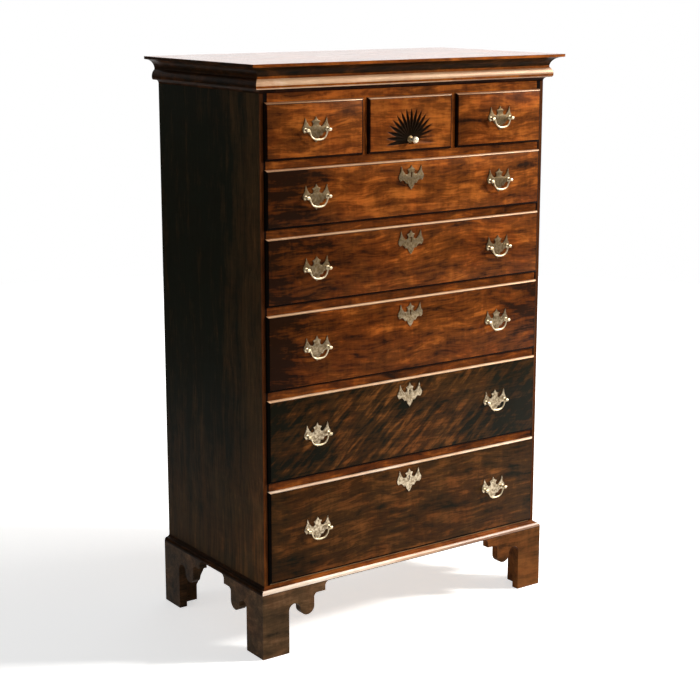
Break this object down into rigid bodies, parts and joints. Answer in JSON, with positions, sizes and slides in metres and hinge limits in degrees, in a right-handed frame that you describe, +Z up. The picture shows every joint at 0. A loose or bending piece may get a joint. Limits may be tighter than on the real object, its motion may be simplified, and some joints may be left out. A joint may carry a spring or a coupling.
{
  "type": "tall chest of drawers",
  "caption": "Tall lipped-drawer chest on scrolled bracket feet, with a moulded cornice, a fan-carved small drawer, graduated long drawers and brass bail pulls.",
  "frame": {"origin": "on the floor under the chest, midway across its width and midway through its overall depth", "axes": "+Z up, the drawer fronts face -Y, +X to the right of someone who faces the drawers"},
  "size_m": [0.965, 0.525, 1.473],
  "materials": {
    "cherry": "red-brown stain under a soft polish, with lively dark figure",
    "cherry_dark": "aged dark brown, open vertical grain, soft polish",
    "pine": "old unfinished softwood, dry and yellow brown",
    "old_brass": "cast and filed, mellow, worn bright on the edges"
  },
  "bodies": {
    "root": {"side_left": "cherry_dark", "side_right": "cherry_dark", "top_board": "cherry_dark", "bottom_board": "pine", "back_boards": "pine", "base_rail": "pine", "top_rail": "cherry", "divider_left": "cherry", "divider_right": "cherry", "drawer_frame_1": "cherry", "drawer_frame_2": "cherry", "drawer_frame_3": "cherry", "drawer_frame_4": "cherry", "drawer_frame_5": "cherry", "cornice_front": "cherry", "base_moulding_front": "cherry", "cornice_left": "cherry", "base_moulding_left": "cherry", "cornice_right": "cherry", "base_moulding_right": "cherry", "foot_front_left": "cherry", "foot_front_right": "cherry", "foot_back_left": "cherry", "foot_back_right": "cherry"},
    "drawer_1_left": {"drawer_1_left_front": "cherry", "drawer_1_left_box": "pine", "drawer_1_left_brasses": "old_brass"},
    "drawer_1_middle": {"drawer_1_middle_front": "cherry", "drawer_1_middle_box": "pine", "drawer_1_middle_brasses": "old_brass"},
    "drawer_1_right": {"drawer_1_right_front": "cherry", "drawer_1_right_box": "pine", "drawer_1_right_brasses": "old_brass"},
    "drawer_2": {"drawer_2_front": "cherry", "drawer_2_box": "pine", "drawer_2_brasses": "old_brass"},
    "drawer_3": {"drawer_3_front": "cherry", "drawer_3_box": "pine", "drawer_3_brasses": "old_brass"},
    "drawer_4": {"drawer_4_front": "cherry", "drawer_4_box": "pine", "drawer_4_brasses": "old_brass"},
    "drawer_5": {"drawer_5_front": "cherry", "drawer_5_box": "pine", "drawer_5_brasses": "old_brass"},
    "drawer_6": {"drawer_6_front": "cherry", "drawer_6_box": "pine", "drawer_6_brasses": "old_brass"},
    "bail_1_left": {"bail_1_left": "old_brass"},
    "bail_1_right": {"bail_1_right": "old_brass"},
    "bail_2_left": {"bail_2_left": "old_brass"},
    "bail_2_right": {"bail_2_right": "old_brass"},
    "bail_3_left": {"bail_3_left": "old_brass"},
    "bail_3_right": {"bail_3_right": "old_brass"},
    "bail_4_left": {"bail_4_left": "old_brass"},
    "bail_4_right": {"bail_4_right": "old_brass"},
    "bail_5_left": {"bail_5_left": "old_brass"},
    "bail_5_right": {"bail_5_right": "old_brass"},
    "bail_6_left": {"bail_6_left": "old_brass"},
    "bail_6_right": {"bail_6_right": "old_brass"}
  },
  "joints": [
    {"name": "drawer_1_left_slide", "type": "slide", "parent": "root", "child": "drawer_1_left", "axis": [0, -1, 0], "range_m": [0, 0.36]},
    {"name": "drawer_1_middle_slide", "type": "slide", "parent": "root", "child": "drawer_1_middle", "axis": [0, -1, 0], "range_m": [0, 0.36]},
    {"name": "drawer_1_right_slide", "type": "slide", "parent": "root", "child": "drawer_1_right", "axis": [0, -1, 0], "range_m": [0, 0.36]},
    {"name": "drawer_2_slide", "type": "slide", "parent": "root", "child": "drawer_2", "axis": [0, -1, 0], "range_m": [0, 0.36]},
    {"name": "drawer_3_slide", "type": "slide", "parent": "root", "child": "drawer_3", "axis": [0, -1, 0], "range_m": [0, 0.36]},
    {"name": "drawer_4_slide", "type": "slide", "parent": "root", "child": "drawer_4", "axis": [0, -1, 0], "range_m": [0, 0.36]},
    {"name": "drawer_5_slide", "type": "slide", "parent": "root", "child": "drawer_5", "axis": [0, -1, 0], "range_m": [0, 0.36]},
    {"name": "drawer_6_slide", "type": "slide", "parent": "root", "child": "drawer_6", "axis": [0, -1, 0], "range_m": [0, 0.36]},
    {"name": "bail_1_left_swing", "type": "hinge", "parent": "drawer_1_left", "child": "bail_1_left", "pos_m": [-0.288, -0.2435, 1.3125], "axis": [-1, 0, 0], "range_deg": [-17, 197]},
    {"name": "bail_1_right_swing", "type": "hinge", "parent": "drawer_1_right", "child": "bail_1_right", "pos_m": [0.288, -0.2435, 1.3125], "axis": [-1, 0, 0], "range_deg": [-17, 197]},
    {"name": "bail_2_left_swing", "type": "hinge", "parent": "drawer_2", "child": "bail_2_left", "pos_m": [-0.288, -0.2435, 1.15075], "axis": [-1, 0, 0], "range_deg": [-17, 197]},
    {"name": "bail_2_right_swing", "type": "hinge", "parent": "drawer_2", "child": "bail_2_right", "pos_m": [0.288, -0.2435, 1.15075], "axis": [-1, 0, 0], "range_deg": [-17, 197]},
    {"name": "bail_3_left_swing", "type": "hinge", "parent": "drawer_3", "child": "bail_3_left", "pos_m": [-0.288, -0.2435, 0.97475], "axis": [-1, 0, 0], "range_deg": [-17, 197]},
    {"name": "bail_3_right_swing", "type": "hinge", "parent": "drawer_3", "child": "bail_3_right", "pos_m": [0.288, -0.2435, 0.97475], "axis": [-1, 0, 0], "range_deg": [-17, 197]},
    {"name": "bail_4_left_swing", "type": "hinge", "parent": "drawer_4", "child": "bail_4_left", "pos_m": [-0.288, -0.2435, 0.77575], "axis": [-1, 0, 0], "range_deg": [-17, 197]},
    {"name": "bail_4_right_swing", "type": "hinge", "parent": "drawer_4", "child": "bail_4_right", "pos_m": [0.288, -0.2435, 0.77575], "axis": [-1, 0, 0], "range_deg": [-17, 197]},
    {"name": "bail_5_left_swing", "type": "hinge", "parent": "drawer_5", "child": "bail_5_left", "pos_m": [-0.288, -0.2435, 0.55525], "axis": [-1, 0, 0], "range_deg": [-17, 197]},
    {"name": "bail_5_right_swing", "type": "hinge", "parent": "drawer_5", "child": "bail_5_right", "pos_m": [0.288, -0.2435, 0.55525], "axis": [-1, 0, 0], "range_deg": [-17, 197]},
    {"name": "bail_6_left_swing", "type": "hinge", "parent": "drawer_6", "child": "bail_6_left", "pos_m": [-0.288, -0.2435, 0.31], "axis": [-1, 0, 0], "range_deg": [-17, 197]},
    {"name": "bail_6_right_swing", "type": "hinge", "parent": "drawer_6", "child": "bail_6_right", "pos_m": [0.288, -0.2435, 0.31], "axis": [-1, 0, 0], "range_deg": [-17, 197]}
  ]
}
